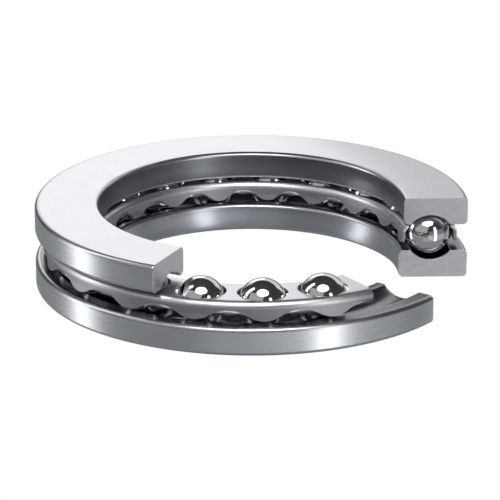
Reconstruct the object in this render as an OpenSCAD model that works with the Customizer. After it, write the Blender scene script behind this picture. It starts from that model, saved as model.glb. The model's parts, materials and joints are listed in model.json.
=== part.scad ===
// Single-direction thrust ball bearing, shown as a cutaway so that its balls and cage can be seen.
// Millimetres. Z is the bearing's axis, and Z = 0 is the shaft washer's seating face.
// Directions are in degrees from +X, counted counter-clockwise from above.

/* [Bearing] */
// Bore of the shaft washer, the shaft's own diameter
bore_d = 60; // [50:0.5:61]
// Outside diameter of both washers
outer_d = 88; // [86:0.5:105]
// Height from seating face to seating face
height = 17; // [15:0.25:24]

/* [Washers] */
// How much larger the housing washer's bore is than the shaft washer's
bore_step = 2; // [1:0.25:3]
// Depth of each raceway groove below the washer's shoulder
groove_depth = 2; // [1.2:0.1:2.5]
// Radius of the groove as a share of the ball's diameter
groove_fit = 0.535; // [0.52:0.005:0.56]
// Rounding of the washers' outer edges
edge_round = 0.9; // [0.3:0.1:1.4]
// Chamfer at both ends of each washer's bore
bore_chamfer = 0.7; // [0.3:0.1:1.2]

/* [Balls] */
// Diameter of a ball
ball_d = 9.525; // [7.5:0.025:9.9]
// Places for balls in the full circle
places = 19; // [14:1:19]
// Balls that are left beside the cut sector
balls = 16; // [1:1:16]
// Direction of the first ball
first_ball = 8.1; // [5:0.1:12]
// How far the ring of balls lies inside the middle of the washer's face
track_inset = 0.5; // [0:0.05:0.7]
// Axial clearance between a ball and each raceway
race_gap = 0.02; // [0.01:0.01:0.05]

/* [Cage] */
// Thickness of the pressed sheet
sheet = 0.7; // [0.5:0.05:0.9]
// Outside radius of the bend between the cage's top and its skirts
bend_r = 1.4; // [0.9:0.05:1.6]
// Clearance between a ball and the edge of its hole in the cage's top
hole_gap = 0.1; // [0.05:0.01:0.2]
// Clearance between a ball and the cage's skirts
skirt_gap = 0.2; // [0.12:0.01:0.3]
// Clearance between the cage's top and the housing washer's shoulder
top_gap = 0.85; // [0.3:0.05:1]
// Clearance between the lobes' tips and the shaft washer's shoulder
tip_gap = 0.95; // [0.6:0.05:1.2]
// Height of a lobe's tip, which leans in under the ball
tip_h = 1.2; // [0.8:0.1:1.4]
// Share of each ball's stretch of skirt that its lobe takes
lobe_share = 0.58; // [0.5:0.02:0.7]
// How much of a lobe's round is cut off flat at its tip
tip_flat = 0.1; // [0.05:0.05:0.2]

/* [Section] */
// Direction of the section face that the two washers share
back_cut = 1.75; // [0:0.25:3]
// Direction of the cage's end beside it, which is cut back to show the first ball
cage_back_cut = 5; // [3:0.25:7]
// Direction of the housing washer's other section face
housing_cut = 244.5; // [200:0.5:280]
// Direction of the cage's other end
cage_cut = 304; // [300:0.5:306]
// Direction of the shaft washer's other section face
shaft_cut = 324.5; // [310:0.5:340]

/* [Hidden] */
$fn = 96;

ball_r = ball_d / 2;
outer_r = outer_d / 2;
// Radius of the ring of ball centres, and the height at which they lie
track_r = (bore_d + outer_d) / 4 - track_inset;
mid = height / 2;
// Raceways: the steel left under the groove, and the washer up to its shoulder
groove_r = groove_fit * ball_d;
web = mid - ball_r - race_gap;
washer_h = web + groove_depth;

// Cage levels, counted from the plane of the ball centres
shoulder = mid - washer_h;
cage_top = shoulder - top_gap;
cage_under = cage_top - sheet;
lobe_low = tip_gap - shoulder;
lean_start = lobe_low + tip_h;
// Half width of a ball's slice at a level z above or below its centre
function slice_r(z) = sqrt(ball_r * ball_r - z * z);
// The hole is a little smaller than the ball, and the tips close in below it, so the cage holds the ball
hole_r = slice_r(cage_under) + hole_gap;
skirt_in = ball_r + skirt_gap;
tip_in = slice_r(lobe_low) + skirt_gap;
skirt_out = skirt_in + sheet;

// Distance that a cutting shape runs past what it cuts
past = 0.5;

place_step = 360 / places;
function ball_direction(i) = first_ball + (i - 1) * place_step;
function ball_name(i) = str("ball_", i < 10 ? "0" : "", i);

// A ring turned from its half section, from one direction round to another.
module sector(from, to) {
    rotate([0, 0, from]) rotate_extrude(angle = to - from) children();
}

// What is cut from a top right corner at the origin to leave it round.
module round_corner(r) {
    difference() {
        translate([-r, -r]) square(r + past);
        translate([-r, -r]) circle(r);
    }
}

// What is cut from a corner at the origin to leave a chamfer.
module chamfer_corner(leg) {
    rotate(45) square(leg * sqrt(2), center = true);
}

// Half section of a washer, with its seating face at the bottom and its groove at the top.
module washer_section(washer_bore) {
    bore_r = washer_bore / 2;
    difference() {
        translate([bore_r, 0]) square([outer_r - bore_r, washer_h]);
        translate([track_r, web + groove_r]) circle(groove_r);
        translate([outer_r, washer_h]) round_corner(edge_round);
        translate([outer_r, 0]) mirror([0, 1]) round_corner(edge_round);
        translate([bore_r, washer_h]) chamfer_corner(bore_chamfer);
        translate([bore_r, 0]) chamfer_corner(bore_chamfer);
    }
}

module shaft_washer() {
    color("silver") sector(back_cut, shaft_cut) washer_section(bore_d);
}

module housing_washer() {
    color("lightgray") translate([0, 0, height]) mirror([0, 0, 1])
        sector(back_cut, housing_cut) washer_section(bore_d + bore_step);
}

// The cage's channel section, about the ring of ball centres: a flat top, and two skirts that lean in at
// the tips.
module channel_section() {
    difference() {
        polygon([[-skirt_out, cage_top], [skirt_out, cage_top], [skirt_out, lean_start],
                 [tip_in + sheet, lobe_low], [-tip_in - sheet, lobe_low], [-skirt_out, lean_start]]);
        for (side = [0, 1]) mirror([side, 0]) translate([skirt_out, cage_top]) round_corner(bend_r);
        difference() {
            polygon([[-skirt_in, cage_under], [skirt_in, cage_under], [skirt_in, lean_start],
                     [tip_in, lobe_low], [tip_in, lobe_low - past], [-tip_in, lobe_low - past],
                     [-tip_in, lobe_low], [-skirt_in, lean_start]]);
            for (side = [0, 1]) mirror([side, 0])
                translate([skirt_in, cage_under]) round_corner(bend_r - sheet);
        }
    }
}

// What is cut from the lower part of one skirt, up to the level of the ball centres, to leave a lobe at
// each ball.
module lobe_surround(radius) {
    lobe_half = lobe_share * radius * sin(place_step / 2);
    drop = tip_flat - lobe_low;
    lobe_r = (lobe_half * lobe_half + drop * drop) / (2 * drop);
    band = sheet + past;
    difference() {
        translate([0, 0, mid]) rotate_extrude()
            translate([radius - band, lobe_low - past]) square([2 * band, past - lobe_low]);
        for (i = [1:places]) rotate([0, 0, ball_direction(i)])
            translate([radius - band - past, 0, mid + lobe_r - drop]) rotate([0, 90, 0])
                cylinder(r = lobe_r, h = 2 * (band + past));
    }
}

module cage() {
    color("lightsteelblue") difference() {
        sector(cage_back_cut, cage_cut) translate([track_r, mid]) channel_section();
        for (i = [1:places]) rotate([0, 0, ball_direction(i)])
            translate([track_r, 0, mid + cage_under / 2]) cylinder(r = hole_r, h = cage_top);
        lobe_surround(track_r + skirt_in);
        lobe_surround(track_r - skirt_in);
    }
}

module ball(i) {
    color("gainsboro") rotate([0, 0, ball_direction(i)]) translate([track_r, 0, mid]) sphere(ball_r);
}

shaft_washer();
housing_washer();
cage();
for (i = [1:balls]) ball(i);
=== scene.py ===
import json
import math

import bmesh
import bpy
from mathutils import Matrix, Vector


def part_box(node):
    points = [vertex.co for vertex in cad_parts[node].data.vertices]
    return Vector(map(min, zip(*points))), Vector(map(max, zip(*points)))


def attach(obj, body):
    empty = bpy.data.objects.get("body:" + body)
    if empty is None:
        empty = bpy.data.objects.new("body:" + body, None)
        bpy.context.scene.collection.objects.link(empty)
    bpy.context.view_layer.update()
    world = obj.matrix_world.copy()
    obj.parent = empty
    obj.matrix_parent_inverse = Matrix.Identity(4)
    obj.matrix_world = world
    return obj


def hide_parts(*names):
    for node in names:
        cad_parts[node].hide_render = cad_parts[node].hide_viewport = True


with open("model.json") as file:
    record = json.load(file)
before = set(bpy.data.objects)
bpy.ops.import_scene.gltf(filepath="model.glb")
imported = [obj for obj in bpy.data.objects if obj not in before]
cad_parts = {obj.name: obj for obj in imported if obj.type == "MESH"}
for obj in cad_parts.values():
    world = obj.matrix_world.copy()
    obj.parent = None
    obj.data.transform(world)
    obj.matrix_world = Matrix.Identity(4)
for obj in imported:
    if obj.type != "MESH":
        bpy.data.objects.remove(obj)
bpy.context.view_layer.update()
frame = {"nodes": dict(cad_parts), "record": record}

bl_info = {
    "name": "Thrust ball bearing",
    "version": (1, 0, 0),
    "blender": (4, 5, 0),
    "location": "3D View > Sidebar > Bearing",
    "description": "A cutaway thrust ball bearing: two grooved washers, a pressed cage and its balls",
    "category": "Add Mesh",
}

TURN = 2 * math.pi
MM = 0.001
UP = Vector((0, 0, 1))
ORIGIN = (0, 0, 0)


# ---------------------------------------------------------------- what the frame says

class Ring:
    """A node turned about the Z axis: its radii, its levels, and its sector's first direction and sweep."""

    def __init__(self, node):
        points = [v.co for v in frame["nodes"][node].data.vertices]
        radii = [math.hypot(p.x, p.y) for p in points]
        self.inner, self.outer = min(radii), max(radii)
        self.low, self.high = min(p.z for p in points), max(p.z for p in points)
        turns = sorted(math.atan2(p.y, p.x) % TURN for p in points)
        following = turns[1:] + [turns[0] + TURN]
        # The widest gap between directions is the sector that is cut away
        end, start = max(zip(turns, following), key=lambda pair: pair[1] - pair[0])
        self.start = start % TURN
        self.sweep = (end - start) % TURN


def ball_nodes():
    """The balls' nodes, in order round the bearing."""
    return sorted(name for name in frame["nodes"] if name.startswith("ball_"))


def ball_centre(node):
    low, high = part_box(node)
    return (low + high) / 2


def direction(point):
    """The angle at which a point lies round the Z axis, from 0 to a whole turn."""
    return math.atan2(point.y, point.x) % TURN


SHAFT = Ring("shaft_washer")
HOUSING = Ring("housing_washer")
CAGE = Ring("cage")
FIRST_BALL = ball_centre("ball_01")
BALL_LOW, BALL_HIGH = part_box("ball_01")
BALL_R = (BALL_HIGH.z - BALL_LOW.z) / 2
MID = FIRST_BALL.z
TRACK_R = math.hypot(FIRST_BALL.x, FIRST_BALL.y)
PLACE_STEP = direction(ball_centre("ball_02")) - direction(FIRST_BALL)
HEIGHT = HOUSING.high - SHAFT.low


# ---------------------------------------------------------------- sizes and finishes that a user may change

def length(name, description, default):
    return bpy.props.FloatProperty(
        name=name, description=description, default=default, unit="LENGTH", precision=5)


def plain(name, description, default):
    return bpy.props.FloatProperty(name=name, description=description, default=default)


def colour(name, description, default):
    return bpy.props.FloatVectorProperty(
        name=name, description=description, default=default, subtype="COLOR", size=3, min=0, max=1)


class BearingSizes(bpy.types.PropertyGroup):
    """Sizes of the washers, the cage and their edges that the frame's boxes do not give."""

    groove_r: length("Groove radius", "Radius of each raceway groove", 5.096 * MM)
    groove_depth: length("Groove depth", "Depth of each raceway below the shoulder", 2 * MM)
    edge_round: length("Edge rounding", "Rounding of the washers' outer edges", 0.9 * MM)
    bore_chamfer: length("Bore chamfer", "Chamfer at both ends of each bore", 0.7 * MM)
    groove_blend: length("Groove blend", "Blend between a groove and the shoulder beside it", 0.14 * MM)
    cut_break: length("Section edge", "Softening of the edges round each section face", 0.07 * MM)
    sheet: length("Sheet thickness", "Thickness of the cage's sheet", 0.7 * MM)
    bend_r: length(
        "Bend radius", "Outside radius of the bend between the cage's top and its skirts", 1.4 * MM)
    hole_r: length("Hole radius", "Half width of the hole over each ball, across the cage", 4.7 * MM)
    hole_stretch: length("Hole stretch", "How much further each hole reaches along the cage", 0.3 * MM)
    coined: plain(
        "Coined share", "Share of the sheet's thickness that is left at the edge of each hole", 0.4)
    hole_rim: length("Hole rim", "Width of the even ring of faces round each hole", 0.35 * MM)
    lean: length("Tip lean", "How far a lobe's tip leans in under the ball", 0.35 * MM)
    lean_h: length("Tip height", "Height of the leaning tip of a lobe", 1.2 * MM)
    lobe_share: plain("Lobe share", "Share of each wave of the skirts' edge that the lobe takes", 0.4)
    curl: length("Arch curl", "How far the edge of an arch turns out from the skirt", 0.32 * MM)
    sheet_break: length("Sheet edge", "Softening of the cut edges of the sheet", 0.1 * MM)


class BearingFinishes(bpy.types.PropertyGroup):
    """Colours of the steels. The bores, shoulders, raceways and the cage's skirts are darker as painted
    shade, and the cage's top and bends lighter as painted light.
    """

    ground: colour("Ground steel", "Seating faces", (0.80, 0.81, 0.84))
    rim: colour("Rim steel", "Outside of the washers", (0.68, 0.70, 0.73))
    # Painted shade: both bores' colours are darker than the rim steel to stand for the shade inside the ring;
    # the housing washer's bore is darkest, and its turning only makes it rougher.
    bore: colour("Bore steel", "Ground bore of the shaft washer", (0.50, 0.52, 0.56))
    shaded_turned_bore: colour(
        "Turned steel", "Bore of the housing washer, which is turned and not ground", (0.22, 0.23, 0.24))
    # Painted shade: the shoulders face into the gap between the washers and the cage, and this colour is
    # darkened to stand for the shade there.
    shoulder: colour(
        "Shoulder steel", "Shoulders beside the grooves, turned and hardened", (0.28, 0.29, 0.31))
    # Painted shade: the raceway colour is darkened to stand for the shade in the gap under the cage;
    # polishing gives only the low roughness.
    raceway: colour("Raceway steel", "Polished grooves", (0.36, 0.37, 0.40))
    section: colour("Section steel", "Sawn and ground section faces", (0.86, 0.88, 0.91))
    # Painted light and shade by height: the cage's top and bends take this colour and its skirts the dark one
    # below it; the die's burnishing gives only the roughness.
    cage: colour(
        "Cage steel", "Top and bends of the pressed sheet, which the die has burnished", (0.84, 0.85, 0.87))
    skirt: colour("Skirt steel", "Skirts of the pressed sheet, left dull", (0.39, 0.40, 0.44))
    ball: colour("Ball steel", "Lapped balls", (0.86, 0.87, 0.88))


class BearingStage(bpy.types.PropertyGroup):
    """The camera's place, lens and shift."""

    elevation: bpy.props.FloatProperty(
        name="Elevation", description="How far the camera looks down", default=math.radians(19.42),
        subtype="ANGLE")
    distance: length("Distance", "From the camera to the middle of the bearing", 15.56 * SHAFT.outer)
    lens: plain("Lens", "Focal length in millimetres", 242.0)
    shift_x: plain("Shift X", "Sideways shift of the picture", -0.0035)
    shift_y: plain("Shift Y", "Upward shift of the picture", -0.0215)


# ---------------------------------------------------------------- shader nodes

# Places of the colour sockets on a Mix node
FIRST_COLOUR, SECOND_COLOUR = 6, 7
MIXED_COLOUR = 2


class Wire:
    """A node's output socket. Arithmetic on it adds Math nodes to its graph."""

    def __init__(self, graph, socket):
        self.graph = graph
        self.socket = socket

    def math(self, operation, *inputs):
        return self.graph.node("ShaderNodeMath", {"operation": operation}, dict(enumerate(inputs)))

    def __add__(self, other):
        return self.math("ADD", self, other)

    def __radd__(self, other):
        return self.math("ADD", other, self)

    def __sub__(self, other):
        return self.math("SUBTRACT", self, other)

    def __rsub__(self, other):
        return self.math("SUBTRACT", other, self)

    def __mul__(self, other):
        return self.math("MULTIPLY", self, other)

    def __rmul__(self, other):
        return self.math("MULTIPLY", other, self)

    def __truediv__(self, other):
        return self.math("DIVIDE", self, other)

    def __rtruediv__(self, other):
        return self.math("DIVIDE", other, self)

    def __pow__(self, other):
        return self.math("POWER", self, other)

    def __rpow__(self, other):
        return self.math("POWER", other, self)


class Graph:
    """The node tree of one material or world."""

    def __init__(self, tree):
        self.tree = tree
        tree.nodes.clear()

    def node(self, kind, settings=None, inputs=None, output=0):
        """Adds a node, makes its settings and feeds its sockets with values or wires. Returns one output."""
        made = self.tree.nodes.new(kind)
        for name, value in (settings or {}).items():
            if name == "stops":
                self.set_stops(made.color_ramp, value)
            else:
                setattr(made, name, value)
        for name, value in (inputs or {}).items():
            if isinstance(value, Wire):
                self.tree.links.new(value.socket, made.inputs[name])
            else:
                made.inputs[name].default_value = value
        return Wire(self, made.outputs[output]) if made.outputs else None

    @staticmethod
    def set_stops(ramp, stops):
        """Gives a colour ramp its stops, each a place from 0 to 1 and a grey value."""
        while len(ramp.elements) < len(stops):
            ramp.elements.new(0.5)
        for element, (place, grey) in zip(ramp.elements, stops):
            element.position = place
            element.color = (grey, grey, grey, 1)

    def mix(self, factor, first, second):
        """A colour between two colours."""
        return self.node(
            "ShaderNodeMix", {"data_type": "RGBA"},
            {"Factor": factor, FIRST_COLOUR: first, SECOND_COLOUR: second}, MIXED_COLOUR)

    def object_xyz(self):
        """The place on the object, whole and as its three coordinates."""
        point = self.node("ShaderNodeTexCoord", output="Object")
        return point, [self.node("ShaderNodeSeparateXYZ", inputs={0: point}, output=i) for i in range(3)]


def rgba(shade, factor=1.0):
    """A colour socket's value: the shade made darker or lighter, with its alpha."""
    return tuple(min(1.0, c * factor) for c in shade) + (1.0,)


def turned_lines(graph, pitch, run):
    """Fine lines round the Z axis, from 0 to 1. pitch is their spacing in metres, and a larger run breaks
    them up into shorter ones."""
    _, (x, y, z) = graph.object_xyz()
    radius = (x * x + y * y) ** 0.5
    across = graph.node(
        "ShaderNodeCombineXYZ", inputs={0: x / radius * run, 1: y / radius * run, 2: radius * (1 / pitch)})
    return graph.node(
        "ShaderNodeTexNoise", {"noise_dimensions": "4D"},
        {"Vector": across, "W": z * (1 / pitch), "Scale": 1.0, "Detail": 2.0, "Roughness": 0.6}, "Fac")


def mottle(graph, size, detail=3.0):
    """Soft uneven patches, from 0 to 1, about size metres across."""
    point, _ = graph.object_xyz()
    return graph.node(
        "ShaderNodeTexNoise", None,
        {"Vector": point, "Scale": 1 / size, "Detail": detail, "Roughness": 0.55}, "Fac")


def metal(base, roughness, relief, height, anisotropy=0.0):
    """A metal whose colour, roughness and relief are wires of its graph. height is the relief in metres."""
    graph = base.graph
    bump = graph.node("ShaderNodeBump", None, {"Strength": 1.0, "Distance": height, "Height": relief})
    shader = graph.node("ShaderNodeBsdfPrincipled", None, {
        "Base Color": base, "Metallic": 1.0, "Roughness": roughness, "Normal": bump,
        "Anisotropic": anisotropy})
    graph.node("ShaderNodeOutputMaterial", None, {"Surface": shader})


def new_material(name):
    """A material and the graph of its empty node tree."""
    material = bpy.data.materials.new(name)
    material.use_nodes = True
    return material, Graph(material.node_tree)


# Faint darker patches that every steel has
PATCH_SIZE = 6 * MM
PATCH_MIX = 0.35
PATCH_SHADE = 0.93


def steel(name, shade, lines, roughness, spread, height, depth, anisotropy=0.0):
    """A steel whose colour, roughness and relief follow a pattern.

    lines is a function that makes the pattern in a graph, spread how far the roughness goes either way,
    height the relief in metres, and depth how much darker the pattern's valleys are."""
    material, graph = new_material(name)
    pattern = lines(graph)
    patches = mottle(graph, PATCH_SIZE)
    base = graph.mix(pattern, rgba(shade, 1 - depth), rgba(shade, 1 + depth))
    base = graph.mix(patches * PATCH_MIX, base, rgba(shade, PATCH_SHADE))
    metal(base, roughness + (pattern + patches - 1.0) * spread, pattern, height, anisotropy)
    return material


# The saw's strokes on a section face: their slope, and how many changes a metre has across and along them
STROKE_SLOPE = 0.45
ACROSS_STROKES = 900
ALONG_STROKES = 120
STROKE_SHARE = 0.6
TORN_SIZE = 0.8 * MM


def sawn_lines(graph):
    """Slanting strokes across a section face, from 0 to 1, over softer patches."""
    _, (x, y, z) = graph.object_xyz()
    radius = (x * x + y * y) ** 0.5
    across = (z - radius * STROKE_SLOPE) * ACROSS_STROKES
    along = (radius + z * STROKE_SLOPE) * ALONG_STROKES
    stroke = graph.node("ShaderNodeCombineXYZ", inputs={0: across, 1: along})
    strokes = graph.node("ShaderNodeTexNoise", None, {"Vector": stroke, "Scale": 1.0, "Detail": 3.0}, "Fac")
    return strokes * STROKE_SHARE + mottle(graph, TORN_SIZE, 5.0) * (1 - STROKE_SHARE)


# Where the burnishing and the painted light of the top and bends end and where they are full, in bend radii
# below the cage's top; the skirts below carry painted shade
DULL_SHADED_DEPTH, BURNISHED_LIT_DEPTH = 1.15, 0.5
DULL_ROUGHNESS, BURNISHED_ROUGHNESS = 0.46, 0.34
GRAIN_SIZE = 0.5 * MM
GRAIN_SPREAD = 0.08
GRAIN_HEIGHT = 0.002 * MM


def pressed_sheet(looks, sizes):
    """Sheet that the forming die has burnished on its top and bends and left dull on its skirts, which sets
    its roughness. Its colour is painted light and shade by height: light on the top and bends, dark on the
    skirts.
    """
    material, graph = new_material("pressed_sheet")
    _, (x, y, z) = graph.object_xyz()
    dull_shaded_below = CAGE.high - sizes.bend_r * DULL_SHADED_DEPTH
    bright_above = CAGE.high - sizes.bend_r * BURNISHED_LIT_DEPTH
    burnish_and_painted_shade = graph.node(
        "ShaderNodeMapRange", {"interpolation_type": "SMOOTHSTEP"},
        {"Value": z, "From Min": dull_shaded_below, "From Max": bright_above}, "Result")
    grain = mottle(graph, GRAIN_SIZE, 4.0)
    # Painted shade on the skirts and painted light on the top and bends, by height.
    base = graph.mix(burnish_and_painted_shade, rgba(looks.skirt), rgba(looks.cage))
    roughness = DULL_ROUGHNESS - burnish_and_painted_shade * (DULL_ROUGHNESS - BURNISHED_ROUGHNESS)
    metal(base, roughness + (grain - 0.5) * GRAIN_SPREAD, grain, GRAIN_HEIGHT)
    return material


def turned(pitch, run):
    """A pattern of turned lines, for steel."""
    return lambda graph: turned_lines(graph, pitch, run)


def washer_finishes(looks, bore, bore_roughness):
    """The finishes of a washer, in the order of the names below. The two washers' bores differ in finish, and
    both bores' colours are darkened as painted shade.
    """
    return [
        steel("ground_face", looks.ground, turned(0.22 * MM, 4),
              roughness=0.28, spread=0.04, height=0.0006 * MM, depth=0.06),
        steel("ground_rim", looks.rim, turned(0.55 * MM, 2.0),
              roughness=0.27, spread=0.05, height=0.0007 * MM, depth=0.12, anisotropy=0.3),
        # The bore's colour carries painted shade.
        steel("bore_wall_painted_shade", bore, turned(0.30 * MM, 2.5),
              roughness=bore_roughness, spread=0.05, height=0.0012 * MM, depth=0.10, anisotropy=0.3),
        steel("turned_edge", looks.rim, turned(0.12 * MM, 7),
              roughness=0.30, spread=0.06, height=0.001 * MM, depth=0.04),
        # The raceway's colour carries painted shade.
        steel("honed_raceway_painted_shade", looks.raceway, turned(0.10 * MM, 6),
              roughness=0.18, spread=0.04, height=0.0005 * MM, depth=0.05),
        steel("sawn_section", looks.section, sawn_lines,
              roughness=0.34, spread=0.24, height=0.06 * MM, depth=0.34),
        # The shoulders' colour carries painted shade.
        steel("painted_shade_shoulder", looks.shoulder, turned(0.2 * MM, 6),
              roughness=0.22, spread=0.06, height=0.001 * MM, depth=0.08),
    ]


GROUND, RIM, BORE, EDGE, RACEWAY, SECTION, SHOULDER = range(7)


# ---------------------------------------------------------------- meshes

# How finely the round stretches of a washer's half section are drawn
GROOVE_STEPS = 28
EDGE_STEPS = 8
BLEND_STEPS = 4
BREAK_STEPS = 2
# How finely the cage's sheet is divided, along its section and round the bearing
SKIRT_ROWS = 12
BEND_STEPS = 8
TOP_ROWS = 20
COLUMNS_PER_PLACE = 26
# Share of the way down a skirt at which an arch starts to curl out
CURL_START = 0.4
# A face faces a way squarely, mostly or partly when its normal goes more than this far that way
SQUARELY = 0.999
MOSTLY = 0.5
PARTLY = 0.3
# Reach of the faces punched out for a hole and of the edges left round it, in sizes of the hole's ring
PUNCH_REACH = 1.02
RIM_REACH = 1.18
# Levels that are closer than this are the same
HAIR = 0.001 * MM
SHARP_TURN = math.radians(50)
GROUND_BORE_ROUGHNESS = 0.26
TURNED_BORE_ROUGHNESS = 0.34


def vertex(bm, radius, level):
    """A vertex of a half section, which is drawn in the XZ plane."""
    return bm.verts.new((radius, 0, level))


def drawn_to(bm, start, radius, level, steps=1):
    """Draws a line on from a vertex in equal steps, and returns its far end."""
    near, far = start.co.copy(), Vector((radius, 0, level))
    for step in range(steps):
        start = bmesh.ops.extrude_vert_indiv(bm, verts=[start])["verts"][0]
        start.co = near.lerp(far, (step + 1) / steps)
    return start


def arc_to(bm, start, radius, level, angle, steps):
    """Draws an arc on from a vertex about a centre and returns its far end. It goes clockwise as seen with X
    to the right and Z up."""
    made = bmesh.ops.spin(
        bm, geom=[start], cent=(radius, 0, level), axis=(0, 1, 0), angle=angle, steps=steps)
    return next(g for g in made["geom_last"] if isinstance(g, bmesh.types.BMVert))


def soften(bm, geom, offset, segments, affect):
    """Bevels corners of a half section or edges of a solid. One segment is a chamfer, more are a rounding."""
    bmesh.ops.bevel(bm, geom=geom, offset=offset, offset_type="OFFSET", segments=segments, profile=0.5,
                    affect=affect, clamp_overlap=True, material=-1)


def spin_sector(bm, start, sweep, steps):
    """Turns everything drawn in the XZ plane about Z, from one direction through a sweep."""
    bmesh.ops.rotate(bm, verts=bm.verts, cent=ORIGIN, matrix=Matrix.Rotation(start, 3, "Z"))
    drawn = bm.verts[:] + bm.edges[:] + bm.faces[:]
    bmesh.ops.spin(bm, geom=drawn, cent=ORIGIN, axis=UP, angle=sweep, steps=steps)


def washer_mesh(sizes, ring):
    """A washer with its seating face at Z = 0 and its groove on top, between the ring's section faces."""
    bm = bmesh.new()
    thick = ring.high - ring.low
    half_groove = math.sqrt(sizes.groove_r ** 2 - (sizes.groove_r - sizes.groove_depth) ** 2)
    inner_rim = vertex(bm, TRACK_R - half_groove, thick)
    outer_rim = arc_to(bm, inner_rim, TRACK_R, thick - sizes.groove_depth + sizes.groove_r,
                       -2 * math.asin(half_groove / sizes.groove_r), GROOVE_STEPS)
    outer_top = drawn_to(bm, outer_rim, ring.outer, thick)
    outer_foot = drawn_to(bm, outer_top, ring.outer, 0)
    inner_foot = drawn_to(bm, outer_foot, ring.inner, 0)
    inner_top = drawn_to(bm, inner_foot, ring.inner, thick)
    bm.edges.new((inner_top, inner_rim))
    bmesh.ops.contextual_create(bm, geom=bm.edges[:])
    soften(bm, [outer_top, outer_foot], sizes.edge_round, EDGE_STEPS, "VERTICES")
    soften(bm, [inner_top, inner_foot], sizes.bore_chamfer, 1, "VERTICES")
    soften(bm, [inner_rim, outer_rim], sizes.groove_blend, BLEND_STEPS, "VERTICES")
    one_to_a_degree = round(math.degrees(ring.sweep))
    spin_sector(bm, ring.start, ring.sweep, one_to_a_degree)
    bmesh.ops.recalc_face_normals(bm, faces=bm.faces)
    caps = [f for f in bm.faces if len(f.verts) > 4]
    soften(bm, list({e for f in caps for e in f.edges}), sizes.cut_break, BREAK_STEPS, "EDGES")
    for face in bm.faces:
        face.material_index = washer_finish(face, sizes, thick, half_groove)
        face.smooth = True
    return bm


def washer_finish(face, sizes, thick, half_groove):
    """Which of the washers' finishes a face has."""
    centre = face.calc_center_median()
    radius = math.hypot(centre.x, centre.y)
    outward = Vector((centre.x, centre.y, 0)) / radius
    if abs(face.normal.dot(UP.cross(outward))) > MOSTLY:
        return SECTION
    in_groove = abs(radius - TRACK_R) < half_groove - sizes.groove_blend
    if in_groove and centre.z > thick - sizes.groove_depth - MM:
        return RACEWAY
    if abs(face.normal.z) > SQUARELY:
        # The lands on the groove side face the other washer and take the shoulder finish, with its painted
        # shade.
        return GROUND if centre.z < thick / 2 else SHOULDER
    if abs(face.normal.dot(outward)) > SQUARELY:
        return RIM if radius > TRACK_R else BORE
    return EDGE


def skirt_edge(sizes, radius, turn):
    """Level of the skirts' waved lower edge at a radius: a lobe at each ball, an arch between two balls."""
    off = (turn - direction(FIRST_BALL) + PLACE_STEP / 2) % PLACE_STEP - PLACE_STEP / 2
    along = radius * abs(off)
    half = radius * PLACE_STEP / 2
    rise = MID - CAGE.low
    both_r = (half * half + rise * rise) / (2 * rise)
    lobe_r = sizes.lobe_share * both_r
    arch_r = both_r - lobe_r
    if along < half * sizes.lobe_share:
        return CAGE.low + lobe_r - math.sqrt(lobe_r ** 2 - along ** 2)
    return MID - arch_r + math.sqrt(arch_r ** 2 - (half - along) ** 2)


def cage_strip(sizes):
    """The upper and outer side of the cage's sheet, as a plain channel that runs a little past both ends."""
    bm = bmesh.new()
    half = (CAGE.outer - CAGE.inner) / 2
    bend = CAGE.high - sizes.bend_r
    end = vertex(bm, TRACK_R - half, CAGE.low)
    end = drawn_to(bm, end, TRACK_R - half, bend, SKIRT_ROWS)
    end = arc_to(bm, end, TRACK_R - half + sizes.bend_r, bend, TURN / 4, BEND_STEPS)
    end = drawn_to(bm, end, TRACK_R + half - sizes.bend_r, CAGE.high, TOP_ROWS)
    end = arc_to(bm, end, TRACK_R + half - sizes.bend_r, bend, TURN / 4, BEND_STEPS)
    drawn_to(bm, end, TRACK_R + half, CAGE.low, SKIRT_ROWS)
    column = PLACE_STEP / COLUMNS_PER_PLACE
    before = math.ceil((direction(FIRST_BALL) - CAGE.start) / column) + 1
    first = direction(FIRST_BALL) - before * column
    columns = math.ceil(CAGE.sweep / column) + 3
    spin_sector(bm, first, columns * column, columns)
    return bm


def shape_skirts(bm, sizes):
    """Waves the skirts' lower edges, leans the lobes' tips in under the balls and curls the arches out."""
    bend = CAGE.high - sizes.bend_r
    lean_start = CAGE.low + sizes.lean_h
    for v in bm.verts:
        radius = math.hypot(v.co.x, v.co.y)
        if v.co.z >= bend - HAIR:
            continue
        edge = skirt_edge(sizes, radius, direction(v.co))
        share = (bend - v.co.z) / (bend - CAGE.low)
        level = bend + (edge - bend) * share
        lean = sizes.lean * max(0.0, (lean_start - level) / sizes.lean_h)
        arched = max(0.0, (edge - lean_start) / (MID - lean_start))
        curl = sizes.curl * arched * max(0.0, (share - CURL_START) / (1 - CURL_START)) ** 2
        new_radius = radius + math.copysign(curl - lean, radius - TRACK_R)
        v.co = Vector((v.co.x * new_radius / radius, v.co.y * new_radius / radius, level))


def sheet_level(sizes, radius):
    """Level of the sheet's upper side on the top and the bends beside it."""
    past_flat = abs(radius - TRACK_R) - ((CAGE.outer - CAGE.inner) / 2 - sizes.bend_r)
    if past_flat <= 0:
        return CAGE.high
    return CAGE.high - sizes.bend_r + math.sqrt(max(0.0, sizes.bend_r ** 2 - past_flat ** 2))


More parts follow.
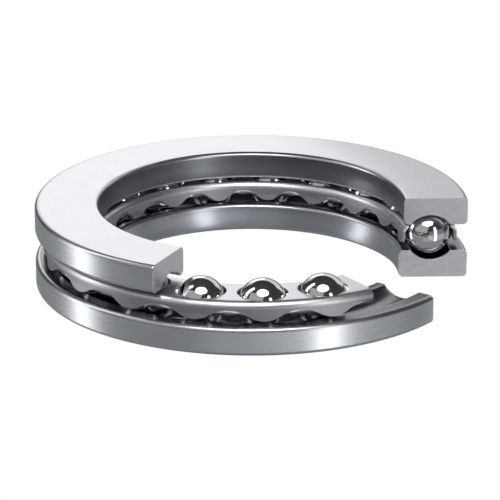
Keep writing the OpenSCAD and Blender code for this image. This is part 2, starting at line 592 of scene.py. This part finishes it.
class Oval:
    """A hole's outline seen from above: an ellipse that is longer along the cage than across it."""

    def __init__(self, centre, along, across):
        self.centre = Vector((centre.x, centre.y, 0))
        self.outward = self.centre.normalized()
        self.onward = UP.cross(self.outward)
        self.along, self.across = along, across

    def scaled(self, point):
        """Where a point lies, counted in half lengths and half widths."""
        off = Vector((point.x, point.y, 0)) - self.centre
        return Vector((off.dot(self.onward) / self.along, off.dot(self.outward) / self.across))

    def outline(self, sizes, point):
        """The point of the outline beside a point, on the sheet's upper side."""
        share = self.scaled(point).normalized()
        spot = self.centre + self.onward * self.along * share.x + self.outward * self.across * share.y
        spot.z = sheet_level(sizes, math.hypot(spot.x, spot.y))
        return spot


def pierce(bm, sizes, centre):
    """Opens the hole over one ball, puts an even ring of faces round it and marks its edge as coined."""
    coined = bm.verts.layers.deform.verify()
    hole = Oval(centre, sizes.hole_r + sizes.hole_stretch, sizes.hole_r)
    ring = Oval(centre, hole.along + sizes.hole_rim, hole.across + sizes.hole_rim)
    inside = [f for f in bm.faces
              if f.normal.z > PARTLY and ring.scaled(f.calc_center_median()).length < PUNCH_REACH]
    bmesh.ops.delete(bm, geom=inside, context="FACES")
    rim = [e for e in bm.edges if e.is_boundary
           and all(v.co.z > MID and ring.scaled(v.co).length < RIM_REACH for v in e.verts)]
    for v in {v for e in rim for v in e.verts}:
        v.co = ring.outline(sizes, v.co)
    made = bmesh.ops.extrude_edge_only(bm, edges=rim)
    for v in (g for g in made["geom"] if isinstance(g, bmesh.types.BMVert)):
        v.co = hole.outline(sizes, v.co)
        v[coined][0] = 1.0


def trim(bm, turn, side):
    """Cuts the strip off at a direction. side is 1 to drop what lies beyond it and -1 what lies before it."""
    near = [f for f in bm.faces
            if abs((direction(f.calc_center_median()) - turn + math.pi) % TURN - math.pi) < PLACE_STEP / 2]
    geom = near + list({e for f in near for e in f.edges}) + list({v for f in near for v in f.verts})
    across = Vector((-math.sin(turn), math.cos(turn), 0)) * side
    bmesh.ops.bisect_plane(bm, geom=geom, dist=1e-7, plane_co=ORIGIN, plane_no=across, clear_outer=True)


def cage_mesh(sizes):
    """The upper and outer side of the cage's sheet, pierced, waved and cut to length."""
    bm = cage_strip(sizes)
    bmesh.ops.recalc_face_normals(bm, faces=bm.faces)
    # The normals of an open sheet may all be recalculated downwards
    top = max(bm.faces, key=lambda f: f.calc_center_median().z)
    if top.normal.z < 0:
        bmesh.ops.reverse_faces(bm, faces=bm.faces)
    for node in ball_nodes():
        pierce(bm, sizes, ball_centre(node))
    shape_skirts(bm, sizes)
    trim(bm, CAGE.start, -1)
    trim(bm, (CAGE.start + CAGE.sweep) % TURN, 1)
    loose = [v for v in bm.verts if not v.link_faces]
    bmesh.ops.delete(bm, geom=loose, context="VERTS")
    for face in bm.faces:
        face.smooth = True
    return bm


def piece(name, bm, materials, node):
    """Makes a mesh into an object that stands for a CAD node and moves with its body."""
    mesh = bpy.data.meshes.new(name)
    bm.to_mesh(mesh)
    bm.free()
    for material in materials:
        mesh.materials.append(material)
    made = bpy.data.objects.new(name, mesh)
    bpy.context.scene.collection.objects.link(made)
    body = next(b for b, nodes in frame["record"]["behaviour"]["bodies"].items() if node in nodes)
    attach(made, body)
    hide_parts(node)
    return made


def even_normals(made):
    """Keeps flat faces flat in the light, so that the shading turns on the narrow faces of the edges."""
    modifier = made.modifiers.new("even_normals", "WEIGHTED_NORMAL")
    modifier.mode = "FACE_AREA"
    modifier.weight = 50
    modifier.keep_sharp = True


# ---------------------------------------------------------------- operators

class BEARING_OT_washers(bpy.types.Operator):
    """Make the shaft washer and the housing washer"""

    bl_idname = "bearing.washers"
    bl_label = "Washers"

    def execute(self, context):
        sizes = context.scene.bearing_sizes
        looks = context.scene.bearing_finishes
        shaft = washer_mesh(sizes, SHAFT)
        finishes = washer_finishes(looks, looks.bore, GROUND_BORE_ROUGHNESS)
        even_normals(piece("shaft_washer_ring", shaft, finishes, "shaft_washer"))
        housing = washer_mesh(sizes, HOUSING)
        # The housing washer lies with its groove down and its seating face on top
        bmesh.ops.scale(housing, verts=housing.verts, vec=(1, 1, -1))
        bmesh.ops.translate(housing, verts=housing.verts, vec=(0, 0, HEIGHT))
        bmesh.ops.reverse_faces(housing, faces=housing.faces)
        # The housing washer's bore gets the darkest colour, painted shade.
        finishes = washer_finishes(looks, looks.shaded_turned_bore, TURNED_BORE_ROUGHNESS)
        even_normals(piece("housing_washer_ring", housing, finishes, "housing_washer"))
        return {"FINISHED"}


class BEARING_OT_cage(bpy.types.Operator):
    """Make the pressed cage"""

    bl_idname = "bearing.cage"
    bl_label = "Cage"

    def execute(self, context):
        sizes = context.scene.bearing_sizes
        looks = context.scene.bearing_finishes
        finish = pressed_sheet(looks, sizes)
        shell = piece("cage_shell", cage_mesh(sizes), [finish], "cage")
        solid = shell.modifiers.new("sheet", "SOLIDIFY")
        solid.thickness = sizes.sheet
        solid.offset = -1
        solid.use_even_offset = True
        shell.vertex_groups.new(name="coined")
        solid.vertex_group = "coined"
        solid.invert_vertex_group = True
        solid.thickness_vertex_group = sizes.coined
        edges = shell.modifiers.new("sheet_edges", "BEVEL")
        edges.width = sizes.sheet_break
        edges.segments = 2
        edges.limit_method = "ANGLE"
        edges.angle_limit = SHARP_TURN
        edges.use_clamp_overlap = True
        even_normals(shell)
        return {"FINISHED"}


class BEARING_OT_balls(bpy.types.Operator):
    """Make the balls"""

    bl_idname = "bearing.balls"
    bl_label = "Balls"

    def execute(self, context):
        looks = context.scene.bearing_finishes
        finish = steel("lapped_ball", looks.ball, lambda graph: mottle(graph, 0.4 * MM, 4.0),
                       roughness=0.09, spread=0.03, height=0.0002 * MM, depth=0.02)
        for node in ball_nodes():
            bm = bmesh.new()
            place = Matrix.Translation(ball_centre(node))
            bmesh.ops.create_icosphere(bm, subdivisions=5, radius=BALL_R, matrix=place)
            for face in bm.faces:
                face.smooth = True
            piece(node + "_sphere", bm, [finish], node)
        return {"FINISHED"}


# ---------------------------------------------------------------- stage

def unlit(name, shade, strength):
    """A plain pale material that gives its own light, so that it stays even."""
    material, graph = new_material(name)
    shader = graph.node("ShaderNodeEmission", None, {"Color": rgba(shade), "Strength": strength})
    graph.node("ShaderNodeOutputMaterial", None, {"Surface": shader})
    return material


def scenery(name, bm, material):
    """A piece of the stage that only the camera sees, so that the steel mirrors the studio in its place."""
    mesh = bpy.data.meshes.new(name)
    bm.to_mesh(mesh)
    bm.free()
    mesh.materials.append(material)
    made = bpy.data.objects.new(name, mesh)
    bpy.context.scene.collection.objects.link(made)
    made.visible_glossy = False
    made.visible_diffuse = False
    made.visible_shadow = False


def softbox(name, turn, rise, distance, width, height, radiance, shape="RECTANGLE"):
    """A soft light that faces the bearing.

    turn is its direction from the front, positive to the right, and rise its elevation, both in degrees."""
    data = bpy.data.lights.new(name, "AREA")
    data.shape = shape
    data.size, data.size_y = width, height
    area = width * height * (math.pi / 4 if shape == "ELLIPSE" else 1)
    data.energy = radiance * math.pi * area
    made = bpy.data.objects.new(name, data)
    bpy.context.scene.collection.objects.link(made)
    turn, rise = math.radians(turn), math.radians(rise)
    away = Vector((math.sin(turn) * math.cos(rise), -math.cos(turn) * math.cos(rise), math.sin(rise)))
    made.location = Vector((0, 0, MID)) + away * distance
    made.rotation_euler = away.to_track_quat("Z", "Y").to_euler()
    made.visible_camera = False


def studio_lights():
    """Lights over and behind the bearing, fills and cards all round, and strips that streak the rims."""
    softbox("overhead_box", turn=0, rise=60, distance=0.50, width=0.46, height=0.30, radiance=3.6,
            shape="ELLIPSE")
    softbox("back_box", turn=-163, rise=24, distance=0.30, width=0.22, height=0.17, radiance=0.52)
    softbox("back_fill", turn=165, rise=25, distance=0.60, width=0.90, height=0.34, radiance=0.64)
    softbox("front_fill", turn=-38, rise=30, distance=0.60, width=0.80, height=0.46, radiance=0.34)
    softbox("front_card", turn=0, rise=-20, distance=0.60, width=0.50, height=0.36, radiance=0.12)
    softbox("back_card", turn=130, rise=-18, distance=0.60, width=0.50, height=0.36, radiance=0.20)
    softbox("left_strip", turn=-97, rise=14, distance=0.50, width=0.13, height=1.00, radiance=2.3)
    softbox("right_strip", turn=39, rise=0, distance=0.50, width=0.11, height=0.62, radiance=2.2)
    softbox("right_fill", turn=44, rise=-6, distance=0.60, width=1.00, height=0.50, radiance=0.14)


COOL_WHITE = (0.94, 0.97, 1.0, 1)
# Elevations in degrees, from straight down to straight up, and the studio's brightness at each
STUDIO_GREYS = [
    (-90, 0.10), (-70, 0.26), (-48, 0.26), (-34, 0.25), (-9, 0.28), (-1, 0.05), (50, 0.04), (90, 0.05)]


def studio(stops):
    """A dark studio over a pale table, as brightness at rising elevations in degrees."""
    world = bpy.data.worlds.new("studio")
    world.use_nodes = True
    graph = Graph(world.node_tree)
    sight = graph.node("ShaderNodeTexCoord", output="Generated")
    rise = graph.node("ShaderNodeSeparateXYZ", inputs={0: sight}, output=2)
    places = [(math.sin(math.radians(elevation)) / 2 + 0.5, grey) for elevation, grey in stops]
    grey = graph.node("ShaderNodeValToRGB", {"stops": places}, {"Fac": rise * 0.5 + 0.5}, "Color")
    tinted = graph.node(
        "ShaderNodeMix", {"data_type": "RGBA", "blend_type": "MULTIPLY"},
        {"Factor": 1.0, FIRST_COLOUR: grey, SECOND_COLOUR: COOL_WHITE}, MIXED_COLOUR)
    light = graph.node("ShaderNodeBackground", None, {"Color": tinted, "Strength": 1.0})
    graph.node("ShaderNodeOutputWorld", None, {"Surface": light})
    return world


WHITE = (1, 1, 1)
STAGE_RADIUS = 6.0
FLOOR_DROP = 0.01 * MM


class BEARING_OT_stage(bpy.types.Operator):
    """Make the floor, the backdrop, the studio light and the camera"""

    bl_idname = "bearing.stage"
    bl_label = "Stage"

    def execute(self, context):
        stage = context.scene.bearing_stage
        floor = bmesh.new()
        bmesh.ops.create_circle(floor, cap_ends=True, segments=96, radius=STAGE_RADIUS,
                                matrix=Matrix.Translation((0, 0, -FLOOR_DROP)))
        scenery("floor", floor, unlit("pale_floor", WHITE, 1.0))
        dome = bmesh.new()
        bmesh.ops.create_uvsphere(dome, u_segments=48, v_segments=24, radius=STAGE_RADIUS)
        scenery("backdrop", dome, unlit("pale_backdrop", WHITE, 0.95))
        studio_lights()
        context.scene.world = studio(STUDIO_GREYS)
        camera = bpy.data.cameras.new("camera")
        camera.lens = stage.lens
        camera.sensor_width = 36.0
        camera.shift_x, camera.shift_y = stage.shift_x, stage.shift_y
        camera.clip_start, camera.clip_end = 0.01, 30.0
        made = bpy.data.objects.new("camera", camera)
        context.scene.collection.objects.link(made)
        away = Vector((0, -math.cos(stage.elevation), math.sin(stage.elevation)))
        made.location = Vector((0, 0, HEIGHT / 2)) + away * stage.distance
        made.rotation_euler = away.to_track_quat("Z", "Y").to_euler()
        context.scene.camera = made
        context.scene.view_settings.view_transform = "Standard"
        return {"FINISHED"}


class BEARING_PT_panel(bpy.types.Panel):
    """Lists the operators and the settings"""

    bl_idname = "BEARING_PT_panel"
    bl_label = "Thrust ball bearing"
    bl_space_type = "VIEW_3D"
    bl_region_type = "UI"
    bl_category = "Bearing"

    def draw(self, context):
        for operator in OPERATORS:
            self.layout.operator(operator.bl_idname)
        for group in ("bearing_sizes", "bearing_finishes", "bearing_stage"):
            settings = getattr(context.scene, group)
            for name in settings.__annotations__:
                self.layout.prop(settings, name)


OPERATORS = (BEARING_OT_washers, BEARING_OT_cage, BEARING_OT_balls, BEARING_OT_stage)
CLASSES = (BearingSizes, BearingFinishes, BearingStage, *OPERATORS, BEARING_PT_panel)


def register():
    for cls in CLASSES:
        bpy.utils.register_class(cls)
    bpy.types.Scene.bearing_sizes = bpy.props.PointerProperty(type=BearingSizes)
    bpy.types.Scene.bearing_finishes = bpy.props.PointerProperty(type=BearingFinishes)
    bpy.types.Scene.bearing_stage = bpy.props.PointerProperty(type=BearingStage)


def unregister():
    del bpy.types.Scene.bearing_stage
    del bpy.types.Scene.bearing_finishes
    del bpy.types.Scene.bearing_sizes
    for cls in reversed(CLASSES):
        bpy.utils.unregister_class(cls)


def main():
    register()
    bpy.ops.bearing.washers()
    bpy.ops.bearing.cage()
    bpy.ops.bearing.balls()
    bpy.ops.bearing.stage()


if __name__ == "__main__":
    main()
